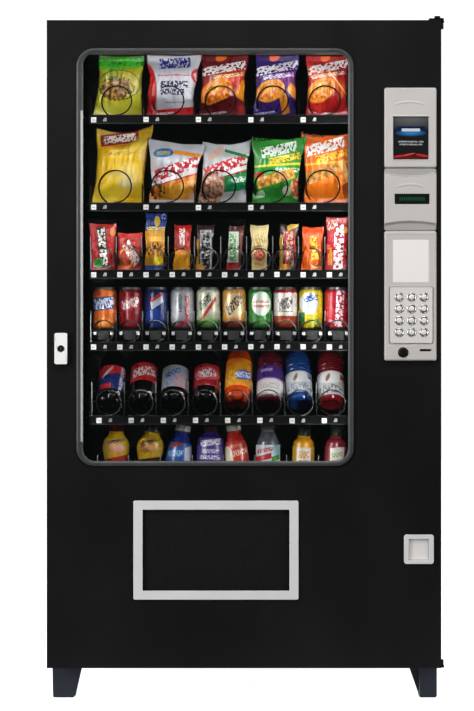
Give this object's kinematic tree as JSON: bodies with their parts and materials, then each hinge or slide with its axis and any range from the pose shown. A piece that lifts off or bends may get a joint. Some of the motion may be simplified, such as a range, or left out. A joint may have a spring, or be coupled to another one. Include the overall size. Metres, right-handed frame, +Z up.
{
  "type": "snack vending machine",
  "caption": "Free-standing glass-front snack vending machine with pull-out spiral trays, keypad, payment column, delivery flap and hinged door.",
  "frame": {"origin": "on the floor, at the middle of the whole outline's width and depth (hinge barrel and keys included)", "axes": "+Z up, -Y out of the front of the door, +X towards the hinge side"},
  "size_m": [1.0666, 0.9312, 1.85],
  "materials": {
    "black_powder_coat": "satin, fine orange-peel powder coat",
    "trim_plastic": "satin moulded plastic",
    "warm_grey_plastic": "satin moulded plastic",
    "light_grey_plastic": "satin moulded plastic",
    "flap_black": "textured matte",
    "galvanised_steel": "spangled zinc coat",
    "dark_steel": "satin paint",
    "black_steel": "satin paint",
    "chrome": "polished",
    "liner_plastic": "satin",
    "window_glass": "clear",
    "gasket_rubber": "matte",
    "fin_aluminium": "mill",
    "display_lens": "gloss",
    "lamp_diffuser": "frosted",
    "printed_film": "printed glossy film",
    "printed_can": "printed lacquered aluminium",
    "bottle_plastic": "clear coloured plastic",
    "label_card": "printed card"
  },
  "bodies": {
    "cabinet": {"cabinet_wrap": "black_powder_coat", "rear_panel": "galvanised_steel", "base_pan": "dark_steel", "front_left_leg": "dark_steel", "front_right_leg": "dark_steel", "rear_left_leg": "dark_steel", "rear_right_leg": "dark_steel", "insulated_liner": "liner_plastic", "tray_rails_left": "galvanised_steel", "tray_rails_right": "galvanised_steel", "refrigeration_deck": "galvanised_steel", "compressor": "black_steel", "condenser": "fin_aluminium", "upper_hinge_bracket": "black_steel", "lower_hinge_bracket": "black_steel"},
    "door": {"door_panel": "black_powder_coat", "window_glass": "window_glass", "window_trim": "trim_plastic", "door_gasket": "gasket_rubber", "light_bar": "lamp_diffuser", "delivery_bezel": "light_grey_plastic", "delivery_bin": "black_steel", "coin_cup": "light_grey_plastic", "payment_bezel_top": "warm_grey_plastic", "payment_bezel_middle": "warm_grey_plastic", "payment_bezel_lower": "warm_grey_plastic", "display_lens": "display_lens", "keypad_plate": "warm_grey_plastic", "coin_changer": "light_grey_plastic", "bill_validator": "black_steel"},
    "condenser_fan": {"condenser_fan": "flap_black"},
    "tray_1": {"tray_1": "black_steel"},
    "tray_2": {"tray_2": "black_steel"},
    "tray_3": {"tray_3": "black_steel"},
    "tray_4": {"tray_4": "black_steel"},
    "tray_5": {"tray_5": "black_steel"},
    "tray_6": {"tray_6": "black_steel"},
    "delivery_flap": {"delivery_flap": "flap_black"},
    "coin_flap": {"coin_flap": "light_grey_plastic"},
    "coin_return_button": {"coin_return_button": "flap_black"},
    "handle_stem": {"handle_stem": "chrome"},
    "t_handle": {"t_handle": "light_grey_plastic"},
    "lock_cylinder": {"lock_cylinder": "chrome"},
    "key_01": {"key_01": "chrome"},
    "key_02": {"key_02": "chrome"},
    "key_03": {"key_03": "chrome"},
    "key_04": {"key_04": "chrome"},
    "key_05": {"key_05": "chrome"},
    "key_06": {"key_06": "chrome"},
    "key_07": {"key_07": "chrome"},
    "key_08": {"key_08": "chrome"},
    "key_09": {"key_09": "chrome"},
    "key_10": {"key_10": "chrome"},
    "key_11": {"key_11": "chrome"},
    "key_12": {"key_12": "chrome"},
    "coil_1": {"coil_1": "black_steel"},
    "coil_2": {"coil_2": "black_steel"},
    "coil_3": {"coil_3": "black_steel"},
    "coil_4": {"coil_4": "black_steel"},
    "coil_5": {"coil_5": "black_steel"}
  },
  "joints": [
    {"name": "door_hinge", "type": "hinge", "parent": "cabinet", "child": "door", "pos_m": [0.52735, -0.3744, 0.964], "axis": [0, 0, 1], "range_deg": [0, 110]},
    {"name": "delivery_flap_hinge", "type": "hinge", "parent": "door", "child": "delivery_flap", "pos_m": [-0.00635, -0.4429, 0.518], "axis": [1, 0, 0], "range_deg": [0, 70]},
    {"name": "coin_flap_hinge", "type": "hinge", "parent": "door", "child": "coin_flap", "pos_m": [0.4598, -0.4464, 0.4411], "axis": [1, 0, 0], "range_deg": [0, 45]},
    {"name": "key_01_press", "type": "slide", "parent": "door", "child": "key_01", "axis": [0, 1, 0], "range_m": [0, 0.002], "stiffness_N_per_m": 600},
    {"name": "key_02_press", "type": "slide", "parent": "door", "child": "key_02", "axis": [0, 1, 0], "range_m": [0, 0.002], "stiffness_N_per_m": 600},
    {"name": "key_03_press", "type": "slide", "parent": "door", "child": "key_03", "axis": [0, 1, 0], "range_m": [0, 0.002], "stiffness_N_per_m": 600},
    {"name": "key_04_press", "type": "slide", "parent": "door", "child": "key_04", "axis": [0, 1, 0], "range_m": [0, 0.002], "stiffness_N_per_m": 600},
    {"name": "key_05_press", "type": "slide", "parent": "door", "child": "key_05", "axis": [0, 1, 0], "range_m": [0, 0.002], "stiffness_N_per_m": 600},
    {"name": "key_06_press", "type": "slide", "parent": "door", "child": "key_06", "axis": [0, 1, 0], "range_m": [0, 0.002], "stiffness_N_per_m": 600},
    {"name": "key_07_press", "type": "slide", "parent": "door", "child": "key_07", "axis": [0, 1, 0], "range_m": [0, 0.002], "stiffness_N_per_m": 600},
    {"name": "key_08_press", "type": "slide", "parent": "door", "child": "key_08", "axis": [0, 1, 0], "range_m": [0, 0.002], "stiffness_N_per_m": 600},
    {"name": "key_09_press", "type": "slide", "parent": "door", "child": "key_09", "axis": [0, 1, 0], "range_m": [0, 0.002], "stiffness_N_per_m": 600},
    {"name": "key_10_press", "type": "slide", "parent": "door", "child": "key_10", "axis": [0, 1, 0], "range_m": [0, 0.002], "stiffness_N_per_m": 600},
    {"name": "key_11_press", "type": "slide", "parent": "door", "child": "key_11", "axis": [0, 1, 0], "range_m": [0, 0.002], "stiffness_N_per_m": 600},
    {"name": "key_12_press", "type": "slide", "parent": "door", "child": "key_12", "axis": [0, 1, 0], "range_m": [0, 0.002], "stiffness_N_per_m": 600},
    {"name": "coin_return_press", "type": "slide", "parent": "door", "child": "coin_return_button", "axis": [0, 1, 0], "range_m": [0, 0.004], "stiffness_N_per_m": 400},
    {"name": "handle_pop_out", "type": "slide", "parent": "door", "child": "handle_stem", "axis": [0, -1, 0], "range_m": [0, 0.02]},
    {"name": "t_handle_turn", "type": "hinge", "parent": "handle_stem", "child": "t_handle", "pos_m": [-0.49435, -0.4484, 0.9515], "axis": [0, -1, 0], "range_deg": [0, 90]},
    {"name": "lock_turn", "type": "hinge", "parent": "t_handle", "child": "lock_cylinder", "pos_m": [-0.49435, -0.4484, 0.9515], "axis": [0, -1, 0], "range_deg": [0, 90]},
    {"name": "condenser_fan_spin", "type": "hinge", "parent": "cabinet", "child": "condenser_fan", "pos_m": [-0.21635, -0.0714, 0.2673], "axis": [0, 1, 0], "continuous": true},
    {"name": "tray_1_slide", "type": "slide", "parent": "cabinet", "child": "tray_1", "axis": [0, -1, 0], "range_m": [0, 0.06]},
    {"name": "tray_2_slide", "type": "slide", "parent": "cabinet", "child": "tray_2", "axis": [0, -1, 0], "range_m": [0, 0.06]},
    {"name": "tray_3_slide", "type": "slide", "parent": "cabinet", "child": "tray_3", "axis": [0, -1, 0], "range_m": [0, 0.06]},
    {"name": "tray_4_slide", "type": "slide", "parent": "cabinet", "child": "tray_4", "axis": [0, -1, 0], "range_m": [0, 0.06]},
    {"name": "tray_5_slide", "type": "slide", "parent": "cabinet", "child": "tray_5", "axis": [0, -1, 0], "range_m": [0, 0.06]},
    {"name": "tray_6_slide", "type": "slide", "parent": "cabinet", "child": "tray_6", "axis": [0, -1, 0], "range_m": [0, 0.06]},
    {"name": "coil_1_turn", "type": "hinge", "parent": "tray_1", "child": "coil_1", "pos_m": [-0.35692, -0.2944, 1.63455], "axis": [0, -1, 0], "continuous": true},
    {"name": "coil_2_turn", "type": "hinge", "parent": "tray_1", "child": "coil_2", "pos_m": [-0.21366, -0.2944, 1.63455], "axis": [0, -1, 0], "continuous": true},
    {"name": "coil_3_turn", "type": "hinge", "parent": "tray_1", "child": "coil_3", "pos_m": [-0.0704, -0.2944, 1.63455], "axis": [0, -1, 0], "continuous": true},
    {"name": "coil_4_turn", "type": "hinge", "parent": "tray_1", "child": "coil_4", "pos_m": [0.07286, -0.2944, 1.63455], "axis": [0, -1, 0], "continuous": true},
    {"name": "coil_5_turn", "type": "hinge", "parent": "tray_1", "child": "coil_5", "pos_m": [0.21612, -0.2944, 1.63455], "axis": [0, -1, 0], "continuous": true}
  ]
}
